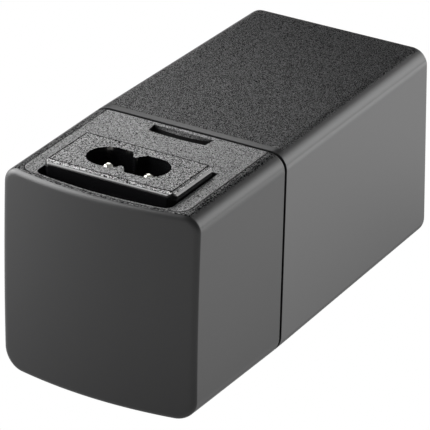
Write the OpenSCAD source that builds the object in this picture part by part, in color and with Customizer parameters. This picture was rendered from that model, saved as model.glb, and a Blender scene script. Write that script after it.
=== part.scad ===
// Mains power adapter: a rear sleeve and a front cap, with a two-pole inlet in the cap's top.
// X is the width, Y runs from the front face to the rear end, Z is up from the base.
// The origin is the middle of the base.

/* [Casing] */
// Width of the casing at the split line
body_w = 42; // [39:0.5:48]
// Height of the casing at the split line
body_h = 42; // [40:0.5:48]
// Length of the front cap, from its face to the split line
cap_len = 34; // [33:0.5:38]
// Length of the rear sleeve along its base
sleeve_len = 61.5; // [60:0.5:72]
// How much shorter the sleeve is along its top than along its base
rear_lean = 3; // [0:0.5:4]
// Wall thickness of both shells
wall = 2; // [1.6:0.1:2.2]
// Thickness of the cap's top, under and around the panel
top_wall = 3; // [2.8:0.1:3.6]
// Radius of the long edges along the top
top_edge_r = 3.4; // [2.6:0.1:4.5]
// Radius of the long edges along the base
base_edge_r = 4.2; // [2.8:0.1:5]
// Radius of the edges round the front face and the rear end
end_edge_r = 1.2; // [0.6:0.1:1.6]
// How far back the edge round the front face reaches
front_edge_d = 0.8; // [0.5:0.1:1.2]

/* [Draft and crown] */
// Width lost from the split line to the front face
front_narrow = 0.5; // [0:0.1:1]
// Height lost along the top, from the split line to the front face
front_drop = 0.25; // [0:0.05:0.5]
// Rise of the base, from the split line to the front face
front_lift = 0.3; // [0:0.05:0.5]
// Width lost from the split line to the rear end
rear_narrow = 1.6; // [0:0.1:2]
// Height lost along the top, from the split line to the rear end
rear_drop = 0.15; // [0:0.05:0.4]
// How far the front face's middle stands forward of its sides
crown = 2.7; // [1:0.1:3.2]
// How far the front face's middle stands forward of its top and base
crown_rise = 0.4; // [0:0.1:0.6]

/* [Split line] */
// Width of the gap between the two shells
split_gap = 0.35; // [0.2:0.05:0.5]
// Length of the cap's tongue inside the sleeve
tongue_len = 3; // [2:0.5:4]
// Thickness of the tongue
tongue_t = 1; // [0.8:0.1:1.2]
// Clearance between the tongue and the sleeve
tongue_fit = 0.12; // [0.08:0.02:0.2]
// Length of the tongue's root inside the cap
root_len = 3; // [2:0.5:4]

/* [Inlet panel] */
// Width of the strip between the panel and the rounding of the long edge
panel_side = 0.3; // [0.2:0.1:0.8]
// Width of the panel in front of the inlet's gap
panel_front = 0.4; // [0.3:0.05:0.6]
// Thickness of the panel
panel_t = 1.5; // [1.2:0.1:1.6]
// Radius of the panel's front corners
panel_corner_r = 2.6; // [1.5:0.1:3.5]
// Clearance round the panel in its pocket
panel_fit = 0.12; // [0.08:0.02:0.2]

/* [Finger slot] */
// Length of the slot along its rear edge
slot_len = 13; // [10:0.5:14]
// Distance from the split line to the slot's rear edge
slot_rear = 1.7; // [1.5:0.1:2]
// Width of the slot at its ends
slot_w = 2.6; // [2.4:0.1:3]
// How far the slot's front edge bows forward
slot_bow = 0.45; // [0.2:0.05:0.8]
// How far each end of the slot leans inward
slot_end_lean = 0.4; // [0:0.1:0.8]
// Number of grip ridges on the slot's rear wall
ridge_count = 4; // [3:1:5]
// How far each ridge reaches forward of the one above, at the slot's middle
ridge_reach = 0.22; // [0.16:0.02:0.26]
// How far each ridge lies below the one above
ridge_drop = 0.05; // [0.04:0.01:0.1]
// Depth of the slot below the panel
slot_depth = 2.5; // [2:0.5:4]
// Thickness of the plastic round the slot's pocket
slot_wall = 1; // [0.8:0.1:1.5]

/* [Inlet] */
// Width of the panel on each side of the inlet's gap
panel_strip = 3.05; // [1.6:0.05:3.2]
// Depth of the raised inlet block, front to rear
block_d = 15.1; // [14.6:0.1:15.4]
// Distance from the split line to the middle of the inlet
inlet_back = 21.3; // [20.9:0.1:21.5]
// Height of the block above the panel
block_rise = 1.75; // [1.4:0.05:2.5]
// Bevel round the top of the block
block_bevel = 0.85; // [0.5:0.05:1.1]
// Cut across the block's upright corners
block_corner = 1.3; // [0.5:0.1:1.6]
// Gap between the block and the panel, at the block's sides and rear
inlet_gap = 0.3; // [0.2:0.05:0.6]
// Gap in front of the block, at its middle
front_gap = 3; // [2:0.1:3.2]
// Radius of the gap's front corners
gap_corner_r = 1.8; // [0.8:0.1:2.4]
// Depth of the gap's floor below the panel's pocket
gap_sink = 0.6; // [0.2:0.1:1]
// Clearance of the block in the cap's window
window_fit = 0.1; // [0.06:0.02:0.2]
// Width of the flange under the cap's top, beside and behind the block
flange_w = 1; // [0.8:0.1:1.4]
// Thickness of the flange
flange_t = 1.5; // [1:0.1:2]
// Thickness of the plastic round the inlet's hollow, below the flange
inlet_wall = 1.8; // [1.4:0.1:2]
// Depth of the inlet's hollow below the block's top
hollow_depth = 12; // [11:0.5:14]
// Thickness of the floor that holds the pins
inlet_floor = 2.5; // [2:0.1:3]
// Distance between the two pins
pin_pitch = 8.6; // [8.4:0.1:9]
// Radius of a pin
pin_r = 1.2; // [1:0.05:1.3]
// Depth of the pins' tips below the block's top
pin_sink = 1.35; // [1:0.05:2]
// Length of a pin's tail below the inlet body
tail_len = 3.5; // [3:0.5:5]
// Radius of each lobe of the inlet's hollow
lobe_r = 4.1; // [4:0.05:4.4]
// Width of each tooth at the waist
tooth_w = 3.2; // [2.8:0.1:3.6]
// Height of each tooth
tooth_h = 1.9; // [1.5:0.1:2]
// Radius of each tooth's tip
tooth_tip_r = 0.55; // [0.3:0.05:0.8]
// Radius of an insulated lead
lead_r = 1; // [0.8:0.05:1.1]
// Wall of the shrink sleeve on each tail
shrink_wall = 0.3; // [0.2:0.05:0.5]
// Length of the shrink sleeve
shrink_len = 6; // [5:0.5:7]

/* [Output socket] */
// Width of the socket's housing
socket_w = 9; // [8.6:0.2:10]
// Height of the socket's housing
socket_h = 11; // [9.4:0.2:12]
// Length of the socket, front to rear
socket_len = 12; // [11:0.5:13]
// Radius of the round nose in the rear wall
nose_r = 4; // [3.8:0.05:4.2]
// Clearance round the nose
nose_fit = 0.1; // [0.06:0.02:0.2]
// Depth of the nose below the rear face
nose_sink = 0.6; // [0.4:0.1:0.8]
// Length of the nose
nose_len = 2.4; // [2.3:0.1:2.8]
// Radius of the bore that takes the plug
barrel_r = 3.1; // [2.9:0.05:3.2]
// Depth of the bore
barrel_depth = 9.5; // [9:0.1:9.8]
// Radius of the centre pin
centre_r = 1; // [0.8:0.05:1.25]
// Depth of the centre pin's tip below the mouth
centre_sink = 1; // [0.5:0.1:2]
// Width of the spring contact
spring_w = 1.6; // [1:0.1:2.2]
// Thickness of the spring contact
spring_t = 0.3; // [0.2:0.05:0.4]
// Length of the spring contact
spring_len = 7; // [5:0.5:8]

/* [Board] */
// Gap between the board and the side walls of the shells
board_side = 2.5; // [2.2:0.1:3]
// Thickness of the circuit board
board_t = 1.6; // [1:0.2:2]
// Height of the board above the floor of the shells
board_rise = 4; // [3.4:0.1:4.6]
// Gap between the board and the end walls
board_gap = 0.9; // [0.6:0.1:1.5]
// Radius of a board boss
boss_r = 3; // [2.6:0.1:3.2]
// Distance from the side of the board to the middle of a boss
boss_side = 3.1; // [3:0.1:3.4]
// Distance from the rear of the board to the rear bosses
boss_rear_in = 3; // [2.7:0.1:3.4]
// Radius of a screw's shank
screw_r = 1.2; // [1:0.05:1.3]
// Radius of a screw's head
screw_head_r = 2.3; // [2:0.05:2.4]
// Height of a screw's head
screw_head_h = 1.5; // [1.2:0.1:2]
// Length of a screw below the board
screw_len = 3.6; // [3:0.1:4]
// Clearance round a screw
screw_fit = 0.05; // [0.03:0.01:0.1]
// Thickness of the insulating sheet
sheet_t = 0.4; // [0.2:0.1:0.6]
// Distance from the side of the board to the edge of the insulating sheet
sheet_side = 2.5; // [2.4:0.1:4]

/* [Mains side parts] */
// Gap between neighbouring parts on the board
part_gap = 0.5; // [0.4:0.1:0.6]
// Radius of a part's wire leg
leg_r = 0.4; // [0.3:0.05:0.45]
// Height of a raised part above the board
leg_rise = 1.5; // [1:0.1:2]
// Radius of the fuse's glass tube
fuse_r = 2.6; // [2.2:0.1:2.7]
// Length of the fuse over its caps
fuse_len = 20; // [18:0.5:21]
// Length of one fuse cap
fuse_cap_len = 5; // [4:0.5:6]
// Thickness of a fuse cap's wall
fuse_cap_t = 0.2; // [0.15:0.05:0.3]
// Radius of the surge varistor
varistor_r = 4.8; // [4.4:0.1:5]
// Thickness of the surge varistor
varistor_t = 3.8; // [3:0.1:4]
// Radius of the inrush thermistor
thermistor_r = 4.3; // [4:0.1:4.8]
// Thickness of the inrush thermistor
thermistor_t = 3.6; // [3:0.1:4]
// Distance from the side of the board to the interference capacitor
xcap_side = 7.5; // [6.5:0.1:8]
// Depth of the interference capacitor
xcap_d = 8.4; // [8:0.1:8.6]
// Height of the interference capacitor
xcap_h = 14.5; // [13:0.5:16]
// Outer radius of the filter choke's core
ring_r = 8.4; // [8:0.1:8.6]
// Inner radius of the filter choke's core
ring_hole_r = 5; // [4.8:0.1:5.4]
// Depth of the filter choke's core
ring_t = 6; // [5.4:0.1:6.2]
// Thickness of the filter choke's windings
coil_t = 1.2; // [1:0.05:1.3]
// Half of the free angle between the two windings
coil_free = 22; // [16:1:30]
// Thickness of the filter choke's base
ring_base_t = 1.5; // [1.2:0.1:2]
// Width of the bridge rectifier
bridge_w = 16; // [14:0.5:18]
// Depth of the bridge rectifier
bridge_d = 3.5; // [3:0.1:3.6]
// Height of the bridge rectifier
bridge_h = 11; // [10:0.5:12]
// Distance from the side of the board to a bulk capacitor
bulk_side = 2.2; // [2:0.1:3]
// Height of a bulk capacitor
bulk_h = 25; // [22:0.5:27]

/* [Transformer] */
// Gap between the core and a power transistor beside it
core_side = 1.1; // [0.8:0.1:1.4]
// Depth of the core
core_d = 7; // [6.4:0.1:7.4]
// Height of the core
core_h = 17.5; // [17:0.1:19]
// Width of the core's middle leg
core_leg = 5.6; // [5.2:0.1:5.8]
// Width of the core's outer legs and yokes
core_yoke = 2.8; // [2.6:0.1:3]
// Thickness of the bobbin's wall and flanges
bobbin_t = 0.7; // [0.6:0.05:0.8]
// Depth of the bobbin over its flanges
bobbin_d = 15.6; // [15:0.1:15.8]
// Height of the bobbin's foot
foot_h = 3; // [2.5:0.1:3.5]
// Clearance between wound parts
coil_fit = 0.1; // [0.06:0.02:0.14]
// How far the winding stays inside the flanges
coil_inset = 0.5; // [0.3:0.1:0.8]

/* [Semiconductors] */
// Thickness of a heat sink
sink_t = 1.4; // [1.2:0.1:1.5]
// Height of a heat sink
sink_h = 22; // [20:0.5:24]
// Length of a heat sink
sink_len = 15; // [13:0.5:16]
// Width of a power transistor
tab_w = 10; // [9.5:0.1:10.2]
// Thickness of a power transistor
tab_t = 4.2; // [4:0.05:4.3]
// Height of a power transistor
tab_h = 15; // [14:0.5:16]
// Height of the screw hole above the transistor's foot
tab_hole_z = 12; // [11:0.1:12.4]
// Radius of a heat sink screw
tab_screw_r = 1.4; // [1.2:0.05:1.5]
// Radius of a heat sink screw's head
tab_head_r = 2.4; // [2:0.1:2.6]
// Length of the controller chip
chip_len = 5; // [4:0.1:6]
// Width of the controller chip
chip_w = 4; // [3:0.1:5]
// Height of the controller chip
chip_h = 1.5; // [1:0.1:1.7]
// Length of the optocoupler
opto_len = 6.4; // [6:0.1:7]
// Width of the optocoupler
opto_w = 4.6; // [4:0.1:5]
// Height of the optocoupler
opto_h = 3.4; // [3:0.1:4]

/* [Output side parts] */
// Radius of the safety capacitor across the transformer
ycap_r = 3.6; // [3.2:0.1:4]
// Thickness of the safety capacitor
ycap_t = 3.5; // [3:0.1:4]
// Share of the output row's width that both output capacitors take
outcap_share = 0.63; // [0.55:0.01:0.65]
// Height of an output capacitor
outcap_h = 16; // [14:0.5:20]
// Share of the output row's width that the output choke takes
drum_share = 0.27; // [0.2:0.01:0.3]
// Height of the output choke
drum_h = 9; // [8:0.5:12]

/* [Hidden] */
$fn = 48;

// Overshoot of a cut beyond the face that it opens
cut = 1;
// Detail of a ring of points: steps round a corner, along the top and base, along a side
plain_ring = [6, 1, 1];
crowned_ring = [6, 6, 2];
inner_ring = [3, 6, 2];
// Steps round one end edge of a shell
end_steps = 4;
// Shares of the front face at which its crown is sampled, from the middle to the rim
face_shares = [0.1, 0.35, 0.6, 0.85];
// Least radius of an inner edge
least_r = 0.6;

total_len = cap_len + sleeve_len;
y_front = -total_len / 2;
y_split = y_front + cap_len;
y_rear = total_len / 2;
top_tilt = atan(front_drop / cap_len);
floor_z = wall;
board_z = floor_z + board_rise;
deck_z = board_z + board_t;
inlet_y = y_split - inlet_back;
block_top = body_h + block_rise;
hollow_floor = block_top - hollow_depth;
inlet_bottom = hollow_floor - inlet_floor;
flange_top = body_h - front_drop - top_wall;
tail_end = inlet_bottom - tail_len;
tip_z = block_top - pin_sink;
rim_y = y_split - split_gap / 2;
panel_w = body_w - 2 * top_edge_r - 2 * panel_side;
gap_front = inlet_back + block_d / 2 + front_gap;
panel_len = gap_front + panel_front;
bow_radius = pow(body_w, 2) / (8 * crown);
slot_foot = slot_rear + ridge_count * ridge_reach;
block_w = panel_w - 2 * inlet_gap - 2 * panel_strip;
board_w = body_w - 2 * wall - 2 * board_side;
boss_x = board_w / 2 - boss_side;
sheet_w = board_w - 2 * sheet_side;
xcap_w = board_w - 2 * xcap_side;
bulk_r = (board_w - part_gap) / 4 - bulk_side / 2;
core_w = board_w - 2 * (sink_t + tab_t + core_side);
out_row = board_w - sink_t - tab_t - 4 * part_gap;
outcap_r = out_row * outcap_share / 4;
drum_r = out_row * drum_share / 2;

// Inner face of the rear wall at a height
function rear_inner(z) = y_rear - rear_lean * z / body_h - wall;
// How far the front face falls back at a distance from the middle
function crown_at(x) = crown * pow(2 * x / body_w, 2);
// Radius of an arc as long as the slot that rises by a bow at its middle
function arc_radius(bow) = (pow(slot_len / 2, 2) + pow(bow, 2)) / (2 * bow);

// The deck's parts stand in a row, each a gap behind the one before
fuse_y = y_front + wall + crown_at(fuse_len / 2) + fuse_r + fuse_cap_t + part_gap;
disc_y = inlet_y;
disc_t = max(varistor_t, thermistor_t);
xcap_y = disc_y + disc_t / 2 + part_gap + xcap_d / 2;
ring_d = ring_t + 2 * coil_t + 2 * coil_fit;
ring_y = xcap_y + xcap_d / 2 + part_gap + ring_d / 2;
ring_z = deck_z + ring_base_t + ring_r + coil_t + coil_fit;
bridge_y = ring_y + ring_d / 2 + part_gap + bridge_d / 2;
bulk_y = bridge_y + bridge_d / 2 + part_gap + bulk_r;
core_y = bulk_y + bulk_r + part_gap + bobbin_d / 2;
outcap_y = core_y + bobbin_d / 2 + part_gap + outcap_r;
sink_x = board_w / 2 - sink_t / 2;
tab_x = board_w / 2 - sink_t - tab_t / 2;
ycap_x = core_w / 2 + part_gap + ycap_t / 2;
ycap_y = core_y - ycap_r;
opto_x = core_w / 2 + part_gap + opto_w / 2;
opto_y = ycap_y + ycap_r + part_gap + opto_len / 2;
sink2_y = max(opto_y + opto_len / 2 + part_gap + sink_len / 2, outcap_y);
board_front = y_front + wall + crown_at(board_w / 2) + board_gap;
board_rear = rear_inner(deck_z) - board_gap;
boss_rear_y = board_rear - boss_rear_in;
socket_z = deck_z + socket_h / 2;
nose_end = rear_inner(socket_z) + wall - nose_sink;
socket_front = nose_end - socket_len;
core_z = deck_z + foot_h;
window_h = core_h - 2 * core_yoke;

shell_grey = [0.22, 0.22, 0.225];
panel_grey = [0.28, 0.28, 0.285];
socket_black = [0.12, 0.12, 0.125];
nickel = [0.8, 0.8, 0.78];
board_green = [0.1, 0.32, 0.2];
ferrite = [0.18, 0.18, 0.19];
copper = [0.72, 0.42, 0.2];
bare_metal = [0.72, 0.73, 0.75];
epoxy = [0.08, 0.08, 0.09];

// A rounded corner of radius r, as [side, set back from the side, height]
function corner(side, level, up, r, first, steps) =
    [for (i = [0:steps]) let (a = abs(first - 90 * i / steps))
        [side, r * (1 - cos(a)), level - up * r * (1 - sin(a))]];

// Inner points of a straight run between two points
function run(from, to, steps) = [for (i = [1:1:steps - 1]) from + (to - from) * i / steps];

// Outline of a rounded section seen from the front, as [share of the width, set back, height]
function outline(top, base, r_top, r_base, detail) = concat(
    corner(1, top, 1, r_top, 0, detail[0]),
    run([1, r_top, top], [-1, r_top, top], detail[1]),
    corner(-1, top, 1, r_top, 90, detail[0]),
    run([-1, 0, top - r_top], [-1, 0, base + r_base], detail[2]),
    corner(-1, base, -1, r_base, 0, detail[0]),
    run([-1, r_base, base], [1, r_base, base], detail[1]),
    corner(1, base, -1, r_base, 90, detail[0]),
    run([1, 0, base + r_base], [1, 0, top - r_top], detail[2]));

// Share of the way from the split line to the front face or the rear end
function to_front(y) = (y_split - y) / cap_len;
function to_rear(y) = (y - y_split) / sleeve_len;

// One ring of the sleeve: inset from the outside, at a plane y or along the leaning rear wall
function sleeve_ring(inset, y_plane, setback) =
    [for (p = outline(body_h - inset, inset, max(top_edge_r - inset, least_r),
            max(base_edge_r - inset, least_r), plain_ring))
        let (y = setback < 0 ? y_plane : y_rear - rear_lean * p.z / body_h - setback,
            half = (body_w - rear_narrow * to_rear(y)) / 2 - inset,
            drop = rear_drop * to_rear(y) * p.z / body_h)
        [p.x * (half - p.y), y, p.z - drop]];

// One ring of the cap: inset from the outside, more along its top, at a plane y
function cap_ring(inset, top_inset, y, detail) =
    [for (p = outline(body_h - front_drop * to_front(y) - top_inset,
            inset + front_lift * to_front(y), max(top_edge_r - inset, least_r),
            max(base_edge_r - inset, least_r), detail))
        [p.x * ((body_w - front_narrow * to_front(y)) / 2 - inset - p.y), y, p.z]];

// The same ring pushed on to the crowned front face, shrunk to a share of it
function face_ring(inset, top_inset, setback, share, detail) =
    [for (p = cap_ring(inset, top_inset, y_front, detail))
        let (x = p.x * share, z = body_h / 2 + (p.z - body_h / 2) * share)
        [x, y_front + setback + crown_at(x) + crown_rise * pow(2 * z / body_h - 1, 2), z]];

// Rings round an end edge, as the inset grows from the sides to the end face
function end_insets(r, steps) = [for (i = [0:steps]) let (a = 90 * i / steps)
    [r * (1 - cos(a)), r * (1 - sin(a))]];

// Rings of the cap from its face to its side, starting in the middle of the face
function cap_rings(inset, top_inset, r, depth, steps, detail) = concat(
    [for (s = face_shares) face_ring(inset + r, top_inset + r, inset, s, detail)],
    [for (i = [steps:-1:0]) let (e = end_insets(r, steps)[i])
        face_ring(inset + e.x, top_inset + e.x, inset + e.y * depth / r, 1, detail)]);

// Middle of a ring's points
function mean_point(ring) = [for (p = ring) 1 / len(ring)] * ring;

// A closed skin over rings of equal length, from a front end to a rear end
module loft(rings) {
    n = len(rings[0]);
    last = len(rings) - 1;
    front = n * (last + 1);
    rear = front + 1;
    points = concat([for (ring = rings) for (p = ring) p],
        [mean_point(rings[0]), mean_point(rings[last])]);
    sides = [for (k = [0:last - 1]) for (i = [0:n - 1]) let (j = (i + 1) % n, a = k * n, b = a + n)
        for (f = [[a + i, a + j, b + j], [a + i, b + j, b + i]]) f];
    ends = [for (i = [0:n - 1]) let (j = (i + 1) % n, a = last * n)
        for (f = [[front, j, i], [rear, a + i, a + j]]) f];
    polyhedron(points = points, faces = concat(sides, ends), convexity = 4);
}

module sleeve_solid(inset, y_start, r, steps) {
    loft(concat([sleeve_ring(inset, y_start, -1)],
        [for (e = end_insets(r, steps)) sleeve_ring(inset + e.x, 0, inset + e.y)]));
}

module cap_solid(inset, top_inset, y_end, r, depth, steps, detail) {
    loft(concat(cap_rings(inset, top_inset, r, depth, steps, detail),
        [cap_ring(inset, top_inset, y_end, detail)]));
}

module tongue_solid(inset, top_inset, y_start, y_end) {
    loft([cap_ring(inset, top_inset, y_start, plain_ring),
        cap_ring(inset, top_inset, y_end, plain_ring)]);
}

// A ring of plastic under both shells' walls: its root in the cap, its nose in the sleeve
module tongue() {
    inner = wall + tongue_fit + tongue_t;
    root = y_split - root_len;
    tip = y_split + tongue_len;
    difference() {
        union() {
            tongue_solid(wall - tongue_fit, wall - tongue_fit, root, rim_y);
            tongue_solid(wall + tongue_fit, wall + tongue_fit, rim_y - cut, tip);
        }
        tongue_solid(inner, top_wall + tongue_t, root - cut, tip + cut);
    }
}

// Places children on the cap's sloping top, with Y measured from the split line
module on_cap_top() {
    translate([0, y_split, body_h])
        rotate([top_tilt, 0, 0])
            children();
}

// Plan of a plate on the cap's top: round front corners, and a front edge bowed like the face
module bowed_plan(half, front, rear, r) {
    corner_y = r - front + crown_at(half - r);
    translate([-half, corner_y])
        square([2 * half, rear - corner_y]);
    intersection() {
        translate([r - half, -front])
            square([2 * (half - r), corner_y + front + cut]);
        translate([0, bow_radius - front])
            circle(bow_radius, $fn = 720);
    }
    for (side = [-1, 1])
        translate([side * (half - r), corner_y])
            circle(r);
}

module panel_outline(grow) {
    rear = rim_y - y_split + grow * cut / panel_fit;
    bowed_plan(panel_w / 2 + grow, panel_len + grow, rear, panel_corner_r + grow);
}

module gap_outline() {
    rear = block_d / 2 + inlet_gap - inlet_back;
    bowed_plan(block_w / 2 + inlet_gap, gap_front, rear, gap_corner_r);
}

// Plan of the finger slot: straight at the rear, bowed forward at the front
module slot_outline() {
    front = -slot_rear - slot_w;
    bow_r = arc_radius(slot_bow);
    intersection() {
        polygon([[-slot_len / 2, -slot_rear], [slot_len / 2, -slot_rear],
            [slot_len / 2 - slot_end_lean, front - slot_bow],
            [-slot_len / 2 + slot_end_lean, front - slot_bow]]);
        translate([0, front - slot_bow + bow_r])
            circle(bow_r, $fn = 180);
    }
}

// Plan of one ridge: a crescent that reaches forward from the slot's rear edge
module ridge_outline(reach) {
    ridge_r = arc_radius(reach);
    intersection() {
        translate([-slot_len / 2, -slot_rear - reach])
            square([slot_len, reach + cut / 2]);
        translate([0, ridge_r - slot_rear - reach])
            circle(ridge_r, $fn = 720);
    }
}

module slot_pocket() {
    front = slot_rear + slot_w;
    half = slot_len / 2 - slot_end_lean;
    translate([-half, -front, -panel_t - slot_depth])
        cube([2 * half, front - slot_foot, slot_depth + cut]);
}

module slot_boss() {
    front = slot_rear + slot_w;
    half = slot_len / 2 - slot_end_lean + slot_wall;
    depth = panel_t + slot_depth + slot_wall;
    translate([-half, -front - slot_wall, -depth])
        cube([2 * half, front - slot_foot + 2 * slot_wall, depth - panel_t]);
}

module boss(x, y) {
    translate([x, y, wall / 2])
        cylinder(r = boss_r, h = board_z - wall / 2);
}

module screw_pilot(x, y) {
    translate([x, y, board_z - screw_len - screw_fit])
        cylinder(r = screw_r + screw_fit, h = screw_len + cut);
}

module rear_sleeve() {
    y_start = y_split + split_gap / 2;
    color(shell_grey)
        difference() {
            union() {
                difference() {
                    sleeve_solid(0, y_start, end_edge_r, end_steps);
                    sleeve_solid(wall, y_start - cut, least_r, 1);
                }
                for (side = [-1, 1])
                    boss(side * boss_x, boss_rear_y);
            }
            for (side = [-1, 1])
                screw_pilot(side * boss_x, boss_rear_y);
            translate([0, rear_inner(0) + wall + cut, socket_z])
                rotate([90, 0, 0])
                    cylinder(r = nose_r + nose_fit, h = rear_lean + wall + 2 * cut);
        }
}

module front_cap() {
    color(shell_grey)
        difference() {
            union() {
                difference() {
                    cap_solid(0, 0, rim_y, end_edge_r, front_edge_d, end_steps, crowned_ring);
                    cap_solid(wall, top_wall, rim_y + cut, least_r, least_r, 1, inner_ring);
                }
                tongue();
                for (side = [-1, 1])
                    boss(side * boss_x, xcap_y);
                on_cap_top()
                    slot_boss();
            }
            for (side = [-1, 1])
                screw_pilot(side * boss_x, xcap_y);
            on_cap_top()
                translate([0, 0, -panel_t])
                    linear_extrude(panel_t + cut)
                        panel_outline(panel_fit);
            on_cap_top()
                translate([0, 0, -panel_t - gap_sink])
                    linear_extrude(gap_sink + cut)
                        gap_outline();
            on_cap_top()
                slot_pocket();
            translate([-block_w / 2 - window_fit, inlet_y - block_d / 2 - window_fit,
                flange_top - cut])
                cube([block_w + 2 * window_fit, block_d + 2 * window_fit, top_wall + 2 * cut]);
        }
}

module inlet_panel() {
    color(panel_grey)
        on_cap_top()
            difference() {
                translate([0, 0, -panel_t])
                    linear_extrude(panel_t)
                        panel_outline(0);
                translate([0, 0, -panel_t - cut])
                    linear_extrude(panel_t + 2 * cut)
                        gap_outline();
                difference() {
                    translate([0, 0, -panel_t - cut])
                        linear_extrude(panel_t + 2 * cut)
                            slot_outline();
                    for (i = [1:ridge_count])
                        translate([0, 0, -panel_t - 2 * cut])
                            linear_extrude(panel_t + 2 * cut - i * ridge_drop)
                                ridge_outline(i * ridge_reach);
                }
            }
}

// Plan of the figure-of-eight hollow, with a blunt tooth on each side of its waist
module hollow_outline() {
    for (side = [-1, 1])
        translate([side * pin_pitch / 2, 0])
            circle(lobe_r);
    difference() {
        square([pin_pitch, 2 * lobe_r], center = true);
        for (side = [-1, 1])
            scale([1, side])
                tooth_outline();
    }
}

module tooth_outline() {
    tip_y = lobe_r - tooth_h + tooth_tip_r;
    polygon([[-tooth_w / 2, lobe_r], [-tooth_tip_r, tip_y], [tooth_tip_r, tip_y],
        [tooth_w / 2, lobe_r], [tooth_w / 2, lobe_r + cut], [-tooth_w / 2, lobe_r + cut]]);
    translate([0, tip_y])
        circle(tooth_tip_r);
}

// Side view of the raised block: upright, with a bevel along both top edges
module block_profile(span) {
    half = span / 2;
    shoulder = block_top - block_bevel;
    polygon([[-half, flange_top], [half, flange_top], [half, shoulder],
        [half - block_bevel, block_top], [-half + block_bevel, block_top], [-half, shoulder]]);
}

module block() {
    x = block_w / 2;
    y = block_d / 2;
    c = block_corner;
    translate([0, inlet_y, 0])
        intersection() {
            linear_extrude(block_top + cut)
                polygon([[-x, -y + c], [-x + c, -y], [x - c, -y], [x, -y + c],
                    [x, y - c], [x - c, y], [-x + c, y], [-x, y - c]]);
            rotate([90, 0, 0])
                linear_extrude(block_d + 2 * cut, center = true)
                    block_profile(block_w);
            rotate([90, 0, 90])
                linear_extrude(block_w + 2 * cut, center = true)
                    block_profile(block_d);
        }
}

module inlet_body() {
    lower_w = pin_pitch + 2 * lobe_r + 2 * inlet_wall;
    lower_d = 2 * lobe_r + 2 * inlet_wall;
    flange_span = block_w + 2 * flange_w;
    color(socket_black)
        difference() {
            union() {
                block();
                translate([-flange_span / 2, inlet_y - block_d / 2 + block_corner,
                    flange_top - flange_t])
                    cube([flange_span, block_d - block_corner + flange_w, flange_t]);
                translate([-lower_w / 2, inlet_y - lower_d / 2, inlet_bottom])
                    cube([lower_w, lower_d, flange_top - inlet_bottom]);
            }
            translate([0, inlet_y, hollow_floor])
                linear_extrude(hollow_depth + cut)
                    hollow_outline();
            for (side = [-1, 1])
                translate([side * pin_pitch / 2, inlet_y, inlet_bottom - cut])
                    cylinder(r = pin_r + screw_fit, h = inlet_floor + 2 * cut);
        }
}

module inlet_pins() {
    color(nickel)
        for (side = [-1, 1])
            translate([side * pin_pitch / 2, inlet_y, 0]) {
                translate([0, 0, tail_end])
                    cylinder(r = pin_r, h = tip_z - pin_r - tail_end);
                translate([0, 0, tip_z - pin_r])
                    sphere(pin_r);
            }
}

module inlet_leads() {
    color("saddlebrown")
        for (side = [-1, 1])
            translate([side * pin_pitch / 2, inlet_y, deck_z])
                cylinder(r = lead_r, h = tail_end - deck_z);
}

module tail_sleeves() {
    bore_r = max(pin_r, lead_r) + screw_fit;
    color("black")
        for (side = [-1, 1])
            translate([side * pin_pitch / 2, inlet_y, tail_end - shrink_len / 2])
                difference() {
                    cylinder(r = bore_r + shrink_wall, h = shrink_len);
                    translate([0, 0, -cut])
                        cylinder(r = bore_r, h = shrink_len + 2 * cut);
                }
}

// A cylinder that runs forward from a point on the rear end
module along_y(r, y_end, length) {
    translate([0, y_end, socket_z])
        rotate([90, 0, 0])
            cylinder(r = r, h = length);
}

module output_socket() {
    box_len = socket_len - nose_len;
    groove_z = socket_z - barrel_r - spring_t - screw_fit;
    color(socket_black)
        difference() {
            union() {
                translate([-socket_w / 2, socket_front, deck_z])
                    cube([socket_w, box_len, socket_h]);
                along_y(nose_r, nose_end, socket_len - box_len / 2);
            }
            along_y(barrel_r, nose_end + cut, barrel_depth + cut);
            along_y(centre_r + screw_fit, nose_end, socket_len + cut);
            translate([-spring_w / 2 - screw_fit, nose_end - barrel_depth, groove_z])
                cube([spring_w + 2 * screw_fit, spring_len + 2 * screw_fit, barrel_r]);
        }
}

module socket_pin() {
    color(nickel)
        along_y(centre_r, nose_end - centre_sink, socket_len - centre_sink);
}

module socket_contact() {
    color(nickel)
        translate([-spring_w / 2, nose_end - barrel_depth + screw_fit,
            socket_z - barrel_r - spring_t])
            cube([spring_w, spring_len, spring_t]);
}

// The four screw places of the board
screw_places = [[-boss_x, xcap_y], [boss_x, xcap_y],
    [-boss_x, boss_rear_y], [boss_x, boss_rear_y]];

module circuit_board() {
    color(board_green)
        difference() {
            translate([-board_w / 2, board_front, board_z])
                cube([board_w, board_rear - board_front, board_t]);
            for (p = screw_places)
                translate([p.x, p.y, board_z - cut])
                    cylinder(r = screw_r + screw_fit, h = board_t + 2 * cut);
        }
}

module board_screws() {
    color(bare_metal)
        for (p = screw_places)
            translate([p.x, p.y, 0]) {
                translate([0, 0, board_z - screw_len])
                    cylinder(r = screw_r, h = screw_len + board_t);
                translate([0, 0, deck_z])
                    cylinder(r = screw_head_r, h = screw_head_h);
            }
}

module insulating_sheet() {
    start = y_split + tongue_len + part_gap;
    hole_r = boss_r + part_gap;
    color("ivory")
        difference() {
            translate([-sheet_w / 2, start, floor_z])
                cube([sheet_w, board_rear - start, sheet_t]);
            for (side = [-1, 1])
                translate([side * boss_x, boss_rear_y, floor_z - cut])
                    cylinder(r = hole_r, h = sheet_t + 2 * cut);
        }
}

fuse_z = deck_z + fuse_r + fuse_cap_t + leg_rise;

module across(r, start, length) {
    translate([start, fuse_y, fuse_z])
        rotate([0, 90, 0])
            cylinder(r = r, h = length);
}

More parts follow.
